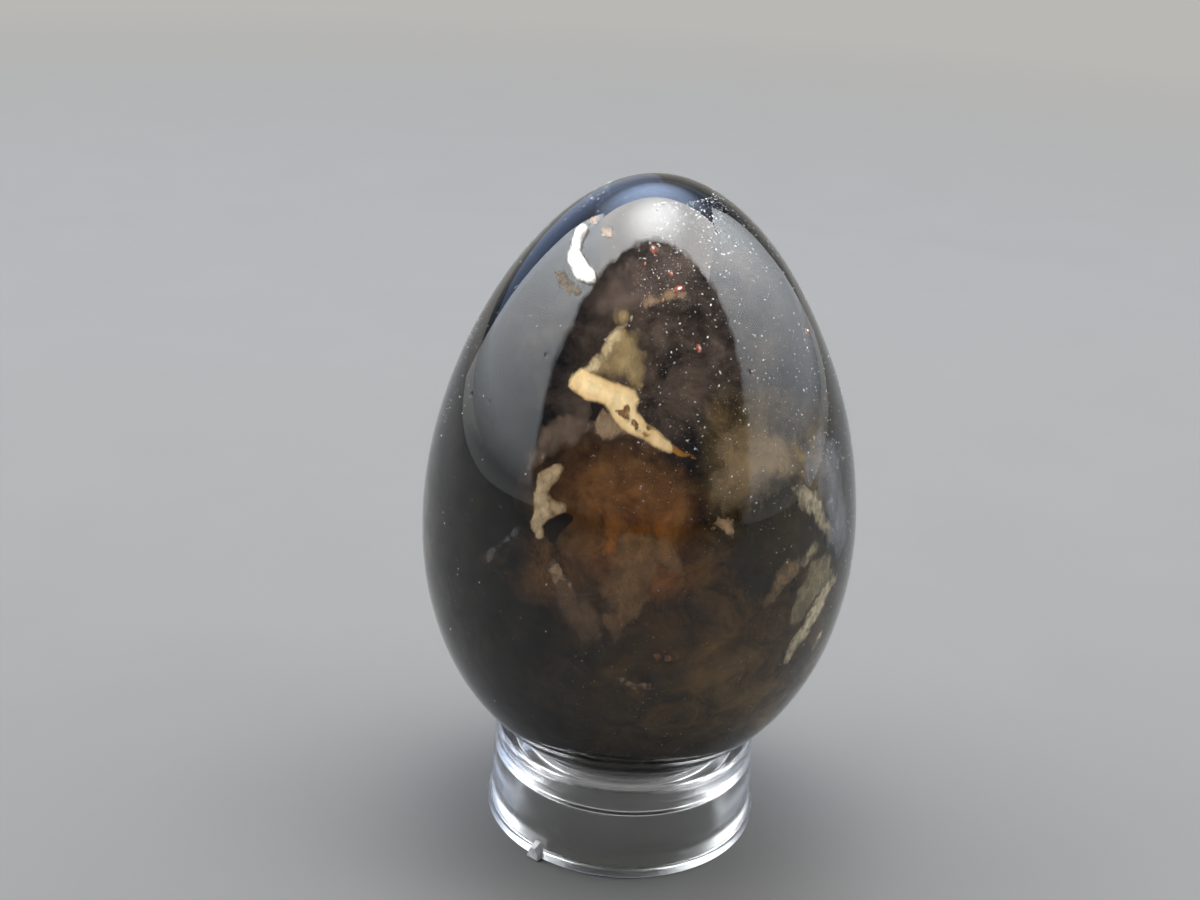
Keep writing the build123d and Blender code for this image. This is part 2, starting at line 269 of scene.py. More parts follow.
# Where each mineral sits: azimuth in degrees, height up the egg and depth under the skin in millimetres.
# A depth below nought stands that far out of the skin, and is lit without the stone's smoke in front of it.
Inclusion = namedtuple("Inclusion", "name azimuth height depth outline finish slot node", defaults=(None,))
VEINS = (
    Inclusion(
        "cream_vein_chip", -100.3, 36.7, -0.012, CREAM_VEIN, "cream_vein", "cream_mineral", "cream_vein"
    ),
    Inclusion(
        "crown_vein_chip", -126.9, 45.4, -0.012, CROWN_VEIN, "white_vein", "white_mineral", "crown_vein"
    ),
    Inclusion(
        "side_flake_chip", -112.6, 29.7, -0.012, SIDE_FLAKE, "tan_flake", "tan_mineral", "side_flake"
    ),
)
SKIN_PATCHES = (
    Inclusion("tan_cloud", -101.9, 39.7, -0.004, TAN_CLOUD, "tan_veil", "tan_mineral"),
    Inclusion("cloud_edge", -105.8, 39.6, -0.006, CLOUD_EDGE, "cloud_cream", "cream_mineral"),
    Inclusion("pale_crack", -102.0, 41.4, -0.008, PALE_CRACK, "crack_pale", "cream_mineral"),
    Inclusion("pale_flake", -100.7, 35.5, -0.004, PALE_FLAKE, "pink_veil", "tan_mineral"),
    # The dark gap and the flake hole are flat patches painted near-black as the shade inside them
    Inclusion("dark_gap", -103.8, 36.3, -0.006, DARK_GAP, "gap_dark", "smoky_stone"),
    Inclusion("flake_hole", -109.8, 28.0, -0.006, FLAKE_HOLE, "gap_dark", "smoky_stone"),
    Inclusion("rust_tail", -79.9, 34.0, -0.020, RUST_TAIL, "rust", "tan_mineral"),
    Inclusion("long_pit", -96.0, 36.3, -0.020, LONG_PIT, "pit_brown", "tan_mineral"),
    Inclusion("thin_pit", -92.3, 35.6, -0.020, THIN_PIT, "pit_brown", "tan_mineral"),
    Inclusion("round_pit", -89.5, 35.1, -0.020, ROUND_PIT, "rust", "tan_mineral"),
    Inclusion("small_pit", -88.3, 35.5, -0.020, ROUND_PIT, "pit_brown", "tan_mineral"),
    Inclusion("crown_pit", -127.5, 43.6, -0.006, CROWN_PIT, "pit_grey", "tan_mineral"),
    Inclusion("tan_spot", -137.3, 47.4, -0.020, SMALL_SPOT, "peach", "tan_mineral"),
    Inclusion("peach_spot", -121.7, 47.0, -0.006, SMALL_SPOT, "peach", "tan_mineral"),
    Inclusion("pale_chip", -101.1, 42.3, -0.006, SMALL_SPOT, "tan_veil", "tan_mineral"),
    Inclusion("dark_crack", -99.8, 41.8, -0.010, DARK_CRACK, "pit_brown", "tan_mineral"),
    Inclusion("top_patch", -89.3, 43.6, -0.004, TOP_PATCH, "pink_veil", "tan_mineral"),
    Inclusion("right_cloud", -40.8, 28.6, -0.004, RIGHT_CLOUD, "skin_haze", "tan_mineral"),
    # Cream streak and pale line: partly a painted glint of light off the cracks
    Inclusion("cream_streak", -38.8, 19.4, -0.006, CREAM_STREAK, "cream_veil", "cream_mineral"),
    Inclusion("pale_line", -32.4, 16.6, -0.004, PALE_LINE, "cream_veil", "cream_mineral"),
)
CLOUDS = (
    Inclusion("crown_smoke", -92.8, 44.6, 0.9, CROWN_SMOKE, "plum_smoke", "smoky_stone"),
    Inclusion("left_ridge", -112.5, 34.3, 0.3, LEFT_RIDGE, "ridge_haze", "smoky_stone"),
    # Glow veil: a faint orange cloud painted bright as the glow of light in the stone
    Inclusion("glow_veil", -89.8, 30.3, 1.0, GLOW_VEIL, "orange_veil", "tan_mineral"),
    Inclusion("left_web", -103.5, 22.2, 0.45, LEFT_WEB, "web_veil", "tan_mineral"),
    Inclusion("right_arm", -90.9, 24.6, 0.35, RIGHT_ARM, "brown_veil", "tan_mineral"),
    Inclusion("left_sliver", -108.8, 24.5, 0.15, LEFT_SLIVER, "pale_veil", "tan_mineral"),
    Inclusion("pink_line", -105.1, 23.7, 0.15, PINK_LINE, "pale_veil", "tan_mineral"),
    Inclusion("red_line", -80.9, 18.9, 0.2, RED_LINE, "red_crack", "tan_mineral"),
    Inclusion("centre_crumbs", -68.6, 28.7, 0.2, CENTRE_CRUMBS, "pale_veil", "tan_mineral"),
    Inclusion("low_crumbs", -88.3, 16.5, 0.2, LOW_CRUMBS, "pale_veil", "tan_mineral"),
    Inclusion("centre_fleck", -99.0, 32.2, 0.2, CENTRE_FLECK, "pale_veil", "tan_mineral"),
    Inclusion("olive_facet", -54.2, 26.8, 0.5, OLIVE_FACET, "olive_dark", "smoky_stone"),
    # Right glow: a faint haze painted bright as the glow of light in the stone
    Inclusion("right_glow", -57.2, 33.4, 1.1, RIGHT_GLOW, "haze", "tan_mineral"),
    # Right shine: a painted reflection, the bluish sheen of the clear right edge
    Inclusion("right_shine", -34.2, 29.0, 0.3, RIGHT_SHINE, "blue_shine", "smoky_stone"),
    Inclusion("short_band", -42.2, 25.1, 0.2, SHORT_BAND, "olive_band", "tan_mineral"),
    Inclusion("brown_band", -50.8, 23.9, 0.2, BROWN_BAND, "band_brown", "tan_mineral"),
    Inclusion("haze_band", -40.4, 21.7, 0.25, HAZE_BAND, "olive_haze", "smoky_stone"),
    Inclusion("left_crescent", -124.0, 25.5, 0.5, LEFT_CRESCENT, "grey_veil", "smoky_stone"),
)
BACK_CLOUDS = (
    Inclusion("back_veil", 82.0, 25.0, 0.5, RIGHT_ARM, "brown_veil", "tan_mineral"),
    Inclusion("back_smoke", 120.0, 38.0, 0.9, CROWN_SMOKE, "plum_smoke", "smoky_stone"),
    Inclusion("back_facet", 30.0, 22.0, 0.6, OLIVE_FACET, "olive_dark", "smoky_stone"),
    Inclusion("back_band", 140.0, 22.0, 0.3, BROWN_BAND, "brown_veil", "tan_mineral"),
    # Back haze, back glow and side haze: faint clouds painted bright as the glow of light in the stone
    Inclusion("back_haze", 35.0, 35.0, 0.8, GLOW_VEIL, "haze", "smoky_stone"),
    Inclusion("back_streak", 105.0, 16.0, 0.2, CREAM_STREAK, "pale_veil", "cream_mineral"),
    Inclusion("back_glow", 95.0, 33.0, 1.0, GLOW_VEIL, "orange_veil", "tan_mineral"),
    Inclusion("side_veil", 175.0, 29.0, 0.6, LEFT_WEB, "brown_veil", "tan_mineral"),
    Inclusion("side_haze", 158.0, 17.0, 1.0, RIGHT_GLOW, "haze", "smoky_stone"),
)

# How the minerals of a group are made, in millimetres: their thickness, how far their edges break to a side
# for each millimetre of edge, and the squares that their faces are cut into
Layer = namedtuple("Layer", "thickness breakage grid")
VEIN_LAYER = Layer(0.3, 0.08, 0.25)
PATCH_LAYER = Layer(0.05, 0.08, 0.25)
CLOUD_LAYER = Layer(0.06, 0.2, 0.4)

# The outline of a mineral grows by this share of its fade. A cloud waves by this many millimetres at most.
GROWTH = 0.3
LARGEST_WAVE = 0.3

# Steps of the smoky core from pole to pole and all round
CORE_RINGS = 80
CORE_TURNS = 130

# Colours of the smoky core: the dark of all the rest, and zones, each with its centre in millimetres.
# The zones are the smoke's own tones, and the brightest warm ones also paint the glow of light in the
# stone.
# A zone is full within its first radius and gone at its second.
CORE_DARK = (0.012, 0.011, 0.008)
CORE_TONES_AND_GLOW = (
    ((2.0, -13.0, 21.0), 2.0, 10.0, (0.105, 0.064, 0.020)),
    ((8.0, -9.0, 19.0), 2.0, 9.0, (0.21, 0.15, 0.06)),
    ((6.5, -11.0, 28.0), 1.0, 7.0, (0.27, 0.17, 0.07)),
    ((1.0, -7.0, 44.0), 3.0, 10.0, (0.145, 0.125, 0.12)),
    ((-2.0, -12.0, 31.5), 2.5, 8.0, (0.31, 0.165, 0.065)),
    ((0.0, -12.5, 31.0), 0.5, 4.5, (0.49, 0.21, 0.06)),
    ((9.0, -8.0, 35.0), 1.0, 7.0, (0.40, 0.31, 0.14)),
    ((-3.0, 11.0, 31.0), 3.0, 11.0, (0.42, 0.23, 0.09)),
    ((9.0, 8.0, 22.0), 2.0, 9.0, (0.20, 0.14, 0.07)),
    ((-11.0, 6.0, 24.0), 2.0, 8.0, (0.14, 0.10, 0.05)),
)

# The side panels and the lamp above end at a round opening in front, which the camera looks through
OPENING_CENTRE = (0, -1.233, 0.5275)
OPENING_RADIUS = 1.155
OPENING_BLUR = 0.015

# Lamps, in metres: place, the point that each is turned to, width and height, the settings of its light
# and colour, the place where it is brightest, how far from there it falls, and the share that is left
Lamp = namedtuple("Lamp", "name place aim size light colour bright_at reach rest")
LAMPS = (
    Lamp(
        "left_wall", (-0.40, 0.015, 0.30), (0, 0.015, 0.30), (0.67, 0.60),
        "wall_light", "panel", (-0.40, 0.10, 0.62), 0.66, 0.22,
    ),
    Lamp(
        "right_wall", (0.40, 0.14, 0.30), (0, 0.14, 0.30), (0.92, 0.60),
        "wall_light", "panel", (0.40, 0.15, 0.62), 0.64, 0.18,
    ),
    Lamp(
        "ceiling", (0, 0.035, 0.60), (0, 0.035, 0), (0.80, 0.51),
        "top_light", "top", (-0.02, 0.07, 0.60), 0.27, 0.41,
    ),
    Lamp(
        "back_sky", (0, 0.635, 0.60), (0, 0.635, 0), (1.00, 0.69),
        "sky_light", "sky", (-0.07, 0.36, 0.60), 0.50, 0.05,
    ),
    Lamp(
        "low_sky", (-0.45, 0.80, 0.55), (-0.1, 0, 0.3), (1.00, 0.90),
        "low_sky_light", "low_sky", (-0.45, 0.80, 0.40), 0.70, 0.2,
    ),
)

# Camera: height of a pivot on the egg's axis, its distance from there, how far it looks down, its roll,
# and the point that it aims at
CAMERA_PIVOT = 30 * MM
CAMERA_DISTANCE = 134.03 * MM
CAMERA_TILT = math.radians(23.80)
CAMERA_ROLL = math.radians(3.28)
CAMERA_AIM = (-3.415 * MM, 0, 32.62 * MM)


def length_setting(name, description, millimetres):
    """Setting of a length."""
    return FloatProperty(name=name, description=description, default=millimetres * MM, unit="LENGTH")


def colour_setting(name, description, default):
    """Setting of a colour."""
    return FloatVectorProperty(name=name, description=description, default=default, subtype="COLOR")


def number_setting(name, description, default):
    """Setting of a plain number."""
    return FloatProperty(name=name, description=description, default=default)


def count_setting(name, description, default):
    """Setting of a whole number."""
    return IntProperty(name=name, description=description, default=default)


class EggSettings(bpy.types.PropertyGroup):
    """Shape and finish of the stone egg"""

    taper: number_setting("Taper", "How much the egg narrows to its upper end", 0.16)
    fullness: number_setting("Fullness", "How much both ends are drawn in", 0.024)
    rings: count_setting("Rings", "Steps of the outline from pole to pole", 140)
    turns: count_setting("Turns", "Steps round the egg", 200)
    polish_wave: length_setting("Polish Wave", "How far hand polishing dips the skin", 0.12)
    smoke: colour_setting("Smoke", "Colour that the stone lets through", (0.56, 0.41, 0.20))
    smoke_density: number_setting("Smoke Density", "Absorption in each metre", 150.0)
    core_inset: length_setting("Core Inset", "How deep the smoky core lies", 3.3)
    core_cover: length_setting("Core Cover", "How much clear stone is left over the core", 2.2)
    core_lumps: length_setting("Core Lumps", "How far the core's lumps stand out", 3.6)
    core_grain: length_setting("Core Grain", "How far the core's grain stands out", 0.8)
    specks: count_setting("Specks", "How many bright specks lie near the skin", 6500)
    speck_colour: colour_setting("Speck Colour", "Colour of the bright specks", (0.86, 0.86, 0.84))
    dust: count_setting("Dust", "How many brown grains lie in the stone", 5000)
    dust_colour: colour_setting("Dust Colour", "Colour of the brown grains", (0.62, 0.45, 0.25))
    copper: colour_setting("Copper", "Colour of the copper-red flakes", (0.85, 0.22, 0.12))
    # Spark: colour of the pale flakes that paint the glints on the copper flakes as highlights
    spark: colour_setting("Spark", "Colour of the glints on those flakes", (0.95, 0.86, 0.80))


class RingSettings(bpy.types.PropertyGroup):
    """Shape of the clear ring"""

    turns: count_setting("Turns", "Steps round the ring", 180)
    bead_proud: length_setting("Bead Proud", "How far the bead stands out", 0.2)
    bead_height: length_setting("Bead Height", "Height of the bead at the foot", 0.8)
    bead_round: length_setting("Bead Round", "Rounding of the bead's edges", 0.15)
    wall_draft: length_setting("Wall Draft", "How far the wall leans in", 0.3)
    rim_width: length_setting("Rim Width", "Width of the flat rim", 1.6)
    rim_round: length_setting("Rim Round", "Rounding of the rim's outer edge", 0.5)
    seat_width: length_setting("Seat Width", "Width of the sloping seat, seen from above", 0.658)
    seat_drop: length_setting("Seat Drop", "How far the seat slopes down", 0.455)
    funnel_width: length_setting("Funnel Width", "Width of the funnel under the seat", 0.3)
    lip_width: length_setting("Lip Width", "How far the lip stands in over the hollow", 0.9)
    lip_height: length_setting("Lip Height", "Height of the lip's straight edge", 0.6)
    hollow_height: length_setting("Hollow Height", "Height of the hollow under the lip", 5.0)
    inner_round: length_setting("Inner Round", "Rounding of the edges inside the ring", 0.08)
    gate_root: length_setting("Gate Root", "How deep the gate's stub goes into the wall", 0.15)
    gate_proud: length_setting("Gate Proud", "How far the gate's stub stands out of the bead", 0.45)
    gate_azimuth: FloatProperty(
        name="Gate Azimuth",
        description="Where the stub of the moulding gate is",
        default=math.radians(-125),
        subtype="ANGLE",
    )


class StageSettings(bpy.types.PropertyGroup):
    """Floor, lamps and camera"""

    floor: colour_setting("Floor", "Colour of the floor", (0.135, 0.131, 0.123))
    backdrop: colour_setting("Backdrop", "Colour of the background", (0.49, 0.48, 0.46))
    panel: colour_setting("Panel", "Colour of the panels at the sides", (0.91, 0.96, 1.0))
    wall_light: number_setting("Wall Light", "Brightness of the panels at the sides", 5.6)
    top: colour_setting("Top", "Colour of the lamp above", (1.0, 1.0, 1.0))
    top_light: number_setting("Top Light", "Brightness of the lamp above", 13.4)
    sky: colour_setting("Sky", "Colour of the light behind", (0.52, 0.68, 1.0))
    sky_light: number_setting("Sky Light", "Brightness of the light behind", 5.6)
    low_sky: colour_setting("Low Sky", "Colour of the low light behind", (0.40, 0.58, 1.0))
    low_sky_light: number_setting("Low Sky Light", "Brightness of that light", 0.8)
    room: colour_setting("Room", "Colour of the light all round", (0.62, 0.74, 1.0))
    room_light: number_setting("Room Light", "Brightness all round", 0.16)


# Shape of the egg


def outline_share(share, taper, fullness):
    """Radius of the unscaled egg, where share runs from -1 at the lower pole to 1 at the upper one."""
    return math.sqrt(max(1 - share**2, 0)) * (1 - taper * share - fullness * share**2)


@lru_cache
def widest_share(taper, fullness):
    """Largest radius of the unscaled egg."""
    steps = 200
    return max(outline_share(2 * step / steps - 1, taper, fullness) for step in range(steps + 1))


def egg_radius(height):
    """Radius of the egg at a height above its lower pole."""
    shape = bpy.context.scene.egg_settings
    share = outline_share(2 * height / EGG_LENGTH - 1, shape.taper, shape.fullness)
    return EGG_WIDTH / 2 * share / widest_share(shape.taper, shape.fullness)


def pole_to_pole(rings):
    """Shares of the height from the lower pole to the upper one, closer together near the poles."""
    return [(1 - math.cos(math.pi * ring / rings)) / 2 for ring in range(rings + 1)]


def frame_at(right, up, out, place):
    """Matrix of a frame with these three directions at a place."""
    matrix = Matrix((right, up, out)).transposed().to_4x4()
    matrix.translation = place
    return matrix


def skin_frame(azimuth, height):
    """Matrix of a frame on the skin: X to the right, Y up the skin, Z out of the stone."""
    turn = math.radians(azimuth)
    step = 0.05 * MM
    flare = (egg_radius(height + step) - egg_radius(height - step)) / (2 * step)
    radius = egg_radius(height)
    right = Vector((-math.sin(turn), math.cos(turn), 0))
    out = Vector((math.cos(turn), math.sin(turn), -flare)).normalized()
    place = Vector((radius * math.cos(turn), radius * math.sin(turn), EGG_LOW.z + height))
    return frame_at(right, out.cross(right), out, place)


# Modelling steps


def deselect():
    """Leaves edit mode and deselects every object."""
    if bpy.context.mode != "OBJECT":
        bpy.ops.object.mode_set(mode="OBJECT")
    bpy.ops.object.select_all(action="DESELECT")


def select_all():
    """Selects all of the piece in edit mode."""
    bpy.ops.mesh.select_all(action="SELECT")


def select_points(piece, test):
    """Selects the vertices of the piece in edit mode whose place passes the test."""
    bpy.ops.mesh.select_all(action="DESELECT")
    mesh = bmesh.from_edit_mesh(piece.data)
    for vertex in mesh.verts:
        vertex.select_set(test(vertex.co))
    mesh.select_flush_mode()
    bmesh.update_edit_mesh(piece.data)


def face_outwards():
    """Points every face of the piece in edit mode outwards."""
    select_all()
    bpy.ops.mesh.normals_make_consistent(inside=False)


def draw_chain(name, points, closed):
    """Draws a chain of edges through points, by extruding one vertex from each to the next."""
    deselect()
    bpy.ops.mesh.primitive_plane_add(size=1 * MM, location=(0, 0, 0))
    piece = bpy.context.object
    piece.name = name
    piece.data.name = name
    bpy.ops.object.mode_set(mode="EDIT")
    select_all()
    bpy.ops.mesh.merge(type="CENTER")
    bpy.ops.transform.translate(value=points[0])
    for here, there in zip(points, points[1:]):
        bpy.ops.mesh.extrude_vertices_move(TRANSFORM_OT_translate={"value": Vector(there) - Vector(here)})
    select_all()
    if closed:
        bpy.ops.mesh.edge_face_add()
    return piece


def lathe(turns):
    """Spins the selected outline of the piece in edit mode once round the Z axis and closes it."""
    bpy.ops.mesh.spin(steps=turns, angle=math.tau, center=(0, 0, 0), axis=(0, 0, 1))
    select_all()
    bpy.ops.mesh.remove_doubles(threshold=0.002 * MM)
    face_outwards()


def leave_edit(smooth_angle=None):
    """Leaves edit mode and smooths the piece, keeping edges sharper than the angle."""
    bpy.ops.object.mode_set(mode="OBJECT")
    if smooth_angle is None:
        bpy.ops.object.shade_smooth()
    else:
        bpy.ops.object.shade_smooth_by_angle(angle=math.radians(smooth_angle))


def turned(name, outline, turns):
    """Draws an outline from pole to pole and turns it into a smooth closed piece."""
    piece = draw_chain(name, outline, closed=False)
    lathe(turns)
    leave_edit()
    return piece


def set_down(piece, place):
    """Moves the piece to a place and puts the place into its mesh."""
    piece.matrix_world = place
    bpy.ops.object.transform_apply(location=True, rotation=True, scale=True)


def apply_modifier(piece, kind, **settings):
    """Adds a modifier, sets it and applies it."""
    bpy.context.view_layer.objects.active = piece
    modifier = piece.modifiers.new(kind.title(), kind)
    for setting, value in settings.items():
        setattr(modifier, setting, value)
    bpy.ops.object.modifier_apply(modifier=modifier.name)


def displace(piece, name, size, strength, mid_level):
    """Moves the surface in and out by soft noise of this size."""
    texture = bpy.data.textures.new(name, "CLOUDS")
    texture.noise_scale = size
    apply_modifier(piece, "DISPLACE", texture=texture, strength=strength, mid_level=mid_level)


def wrap_to_skin(piece, mode, offset):
    """Moves the piece to the skin of the stone, or to a distance from it."""
    stone = bpy.data.objects[STONE_BODY]
    near = "NEAREST_SURFACEPOINT"
    apply_modifier(piece, "SHRINKWRAP", target=stone, wrap_method=near, wrap_mode=mode, offset=offset)


def finish_piece(piece, body, material, node=None):
    """Gives the piece its material and its body, and hides the CAD node that it stands for."""
    piece.data.materials.clear()
    piece.data.materials.append(material)
    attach(piece, body)
    if node:
        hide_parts(node)


# Minerals in the stone


def ragged(outline, name, step):
    """Outline in metres with broken edges: each edge is halved twice, and its new points step to a side."""
    dice = random.Random(name)
    points = [Vector(point) * MM for point in outline]
    for _ in range(2):
        finer = []
        for here, there in zip(points, points[1:] + points[:1]):
            edge = there - here
            side = Vector((-edge.y, edge.x))
            finer.append(here)
            finer.append((here + there) / 2 + side * dice.uniform(-step, step))
        points = finer
    return points


def grown(points, reach):
    """Outline moved outwards, so that a faded edge is half way where the outline was."""
    area = sum(here.x * there.y - there.x * here.y for here, there in zip(points, points[1:] + points[:1]))
    side = math.copysign(reach, area)
    wider = []
    for before, here, after in zip(points[-1:] + points, points, points[1:] + points[:1]):
        along = (after - before).normalized()
        wider.append(here + side * Vector((along.y, -along.x)))
    return wider


def cut_grid(points, step):
    """Cuts the face of the piece in edit mode into squares."""
    for axis in range(2):
        place = min(point[axis] for point in points) + step / 2
        end = max(point[axis] for point in points)
        while place < end:
            corner = [0, 0, 0]
            normal = [0, 0, 0]
            corner[axis] = place
            normal[axis] = 1
            select_all()
            bpy.ops.mesh.bisect(plane_co=corner, plane_no=normal)
            place += step


def mark_edge(piece, points):
    """Stores how far each vertex is from the outline, in millimetres, for the finish to fade with."""
    rim = kdtree.KDTree(len(points))
    for number, point in enumerate(points):
        rim.insert((point.x, point.y, 0), number)
    rim.balance()
    distance = piece.data.attributes.new("from_edge", "FLOAT", "POINT")
    for vertex, place in zip(piece.data.vertices, distance.data):
        place.value = rim.find(vertex.co)[2] / MM


def set_in_stone(inclusion, layer):
    """Models a mineral from its outline and lays it along the skin, at its depth in the stone."""
    under = inclusion.depth > 0
    points = ragged(inclusion.outline, inclusion.name, layer.breakage)
    points = grown(points, GROWTH * FINISHES[inclusion.finish].fade * MM)
    piece = draw_chain(inclusion.name, [(point.x, point.y, 0) for point in points], closed=True)
    cut_grid(points, layer.grid * MM)
    leave_edit()
    mark_edge(piece, points)
    set_down(piece, skin_frame(inclusion.azimuth, inclusion.height * MM))
    wrap_to_skin(piece, "INSIDE" if under else "ABOVE_SURFACE", abs(inclusion.depth) * MM)
    if under:
        wave = min(LARGEST_WAVE, inclusion.depth) * MM
        displace(piece, inclusion.name, 1.5 * MM, wave, 0.5)
    apply_modifier(piece, "SOLIDIFY", thickness=layer.thickness * MM, offset=-1)
    bpy.ops.object.mode_set(mode="EDIT")
    face_outwards()
    leave_edit(40)
    polished = not under and not inclusion.finish.startswith("pit")
    material = mineral_finish(inclusion.finish, polished)
    finish_piece(piece, "egg", material, inclusion.node)


def model_flake(name):
    """One flake: a six-sided plate with a smaller, crooked upper face, and its top at the origin."""
    deselect()
    thick = 0.16 * MM
    bpy.ops.mesh.primitive_circle_add(
        vertices=6, radius=0.5 * MM, fill_type="NGON", location=(0, 0, -thick)
    )
    flake = bpy.context.object
    flake.name = name
    bpy.ops.object.transform_apply(location=True, rotation=True, scale=True)
    bpy.ops.object.mode_set(mode="EDIT")
    select_all()
    bpy.ops.transform.resize(value=(1.0, 0.62, 1.0), center_override=(0, 0, 0))
    bpy.ops.mesh.extrude_region_move(TRANSFORM_OT_translate={"value": (0.05 * MM, 0.03 * MM, thick)})
    bpy.ops.transform.resize(value=(0.7, 0.8, 1.0), center_override=(0, 0, 0))
    face_outwards()
    bpy.ops.object.mode_set(mode="OBJECT")
    return flake


def strew(name, places, material):
    """Models one flake and copies its corners and faces to each place, all in one piece of the egg."""
    piece = model_flake(name)
    corners = [vertex.co.copy() for vertex in piece.data.vertices]
    faces = [tuple(face.vertices) for face in piece.data.polygons]
    points = []
    sides = []
    for place in places:
        start = len(points)
        points.extend(place @ corner for corner in corners)
        sides.extend([start + corner for corner in face] for face in faces)
    piece.data.clear_geometry()
    piece.data.from_pydata(points, [], sides)
    piece.data.update()
    piece.data.name = name
    finish_piece(piece, "egg", material)


def flake_place(azimuth, height, depth, size, tip, turn):
    """Matrix of a flake at the skin: tipped out of the skin's plane and turned in it."""
    sink = Matrix.Translation((0, 0, -depth * MM))
    lie = Matrix.Rotation(turn, 4, "Z") @ Matrix.Rotation(tip, 4, "X")
    return skin_frame(azimuth, height * MM) @ sink @ lie @ Matrix.Scale(size, 4)


def crowding(azimuth, height, scale):
    """Soft noise at a place on the skin, which gathers grains in swarms."""
    return noise.noise(skin_frame(azimuth, height * MM).translation * scale)


def speck_places(dice, count):
    """Places of the bright specks, frosted chips whose white is partly a painted glint: many on the upper
    right of the front, where the light catches them, few below and on the left.
    """
    stone = bpy.data.objects[STONE_BODY]
    highest = 49
    proud = 0.003 * MM
    places = []
    while len(places) < count:
        height = highest * (1 - dice.random() ** 1.7 * 0.92)
        azimuth = dice.uniform(-180, 180)
        crowd = crowding(azimuth, height, 260)
        quiet = height < 30 or -160 < azimuth < -100
        busy = height > 29 and -98 < azimuth < -20
        least = -0.25 if busy else 0.05
        if crowd + dice.uniform(-0.5, 0.5) < least or quiet and dice.random() < 0.92:
            continue
        size = 0.05 + 0.18 * dice.random() ** 6
        depth = dice.choice((0, 0, 0.5 * dice.random()))
        tip = dice.uniform(-0.5, 0.5) if depth > 0 else 0
        place = flake_place(azimuth, height, depth, size, tip, dice.uniform(0, math.tau))
        if depth == 0:
            spot, normal = stone.closest_point_on_mesh(place.translation)[1:3]
            place.translation = spot + normal * proud
        places.append(place)
    return places


def dust_places(dice, count):
    """Places of the brown grains in the stone: none on the dark left side."""
    places = []
    while len(places) < count:
        height = dice.uniform(6, 40)
        azimuth = dice.uniform(-180, 180)
        crowd = crowding(azimuth, height, 320)
        if crowd + dice.uniform(-0.5, 0.5) < 0 or -170 < azimuth < -104:
            continue
        size = 0.05 + 0.14 * dice.random() ** 3
        depth = dice.uniform(0.15, 1.2)
        tip = dice.uniform(-0.6, 0.6)
        places.append(flake_place(azimuth, height, depth, size, tip, dice.uniform(0, math.tau)))
    return places


# Nodes


def fill(tree, node, inputs):
    """Links or fills inputs of a node."""
    for socket, value in inputs.items():
        if isinstance(value, bpy.types.NodeSocket):
            tree.links.new(value, node.inputs[socket])
        else:
            node.inputs[socket].default_value = value


def add_node(tree, kind, inputs=None, **settings):
    """Adds a node, sets it, and links or fills its inputs."""
    node = tree.nodes.new(kind)
    for setting, value in settings.items():
        setattr(node, setting, value)
    fill(tree, node, inputs or {})
    return node


def mix_colours(tree, share, first, second):
    """Mixes two colours and returns the socket of the result."""
    return add_node(tree, "ShaderNodeMix", {0: share, 6: first, 7: second}, data_type="RGBA").outputs[2]


def mix_values(tree, share, first, second):
    """Mixes two values and returns the socket of the result."""
    return add_node(tree, "ShaderNodeMix", {0: share, 2: first, 3: second}, data_type="FLOAT").outputs[0]


def spread(tree, value, low, high, first, last, way="LINEAR"):
    """Maps a value from low and high to first and last, and returns the socket of the result."""
    inputs = {"Value": value, "From Min": low, "From Max": high, "To Min": first, "To Max": last}
    return add_node(tree, "ShaderNodeMapRange", inputs, interpolation_type=way).outputs["Result"]


def calculate(tree, operation, first, second, clamp=False):
    """Works out one value from two and returns the socket of the result."""
    inputs = {0: first, 1: second}
    return add_node(tree, "ShaderNodeMath", inputs, operation=operation, use_clamp=clamp).outputs[0]


def multiply(tree, first, second):
    """Multiplies two values and returns the socket of the result."""
    return calculate(tree, "MULTIPLY", first, second)


def distance(tree, first, second):
    """Socket of the distance between two places."""
    inputs = {0: first, 1: second}
    return add_node(tree, "ShaderNodeVectorMath", inputs, operation="DISTANCE").outputs["Value"]


def coordinates(tree, vector):
    """Sockets of the X, Y and Z of a place."""
    return add_node(tree, "ShaderNodeSeparateXYZ", {"Vector": vector}).outputs


def object_place(tree):
    """Socket of the place on the piece."""
    return add_node(tree, "ShaderNodeTexCoord").outputs["Object"]


def soft_noise(tree, place, scale, detail, roughness=0.5, distortion=0.0):
    """Sockets of soft noise."""
    inputs = {
        "Vector": place,
        "Scale": scale,
        "Detail": detail,
        "Roughness": roughness,
        "Distortion": distortion,
    }
    return add_node(tree, "ShaderNodeTexNoise", inputs).outputs


def first_channel(tree, colour):
    """Socket of the first part of a colour."""
    return add_node(tree, "ShaderNodeSeparateColor", {"Color": colour}).outputs[0]


def rgba(colour):
    """Colour with full alpha."""
    return (*colour, 1.0)


# Materials


def new_material(name):
    """A material with a Principled shader: returns it, its tree and the shader."""
    material = bpy.data.materials.new(name)
    material.use_nodes = True
    tree = material.node_tree
    tree.nodes.clear()
    shader = add_node(tree, "ShaderNodeBsdfPrincipled")
    add_node(tree, "ShaderNodeOutputMaterial", {"Surface": shader.outputs["BSDF"]})
    return material, tree, shader


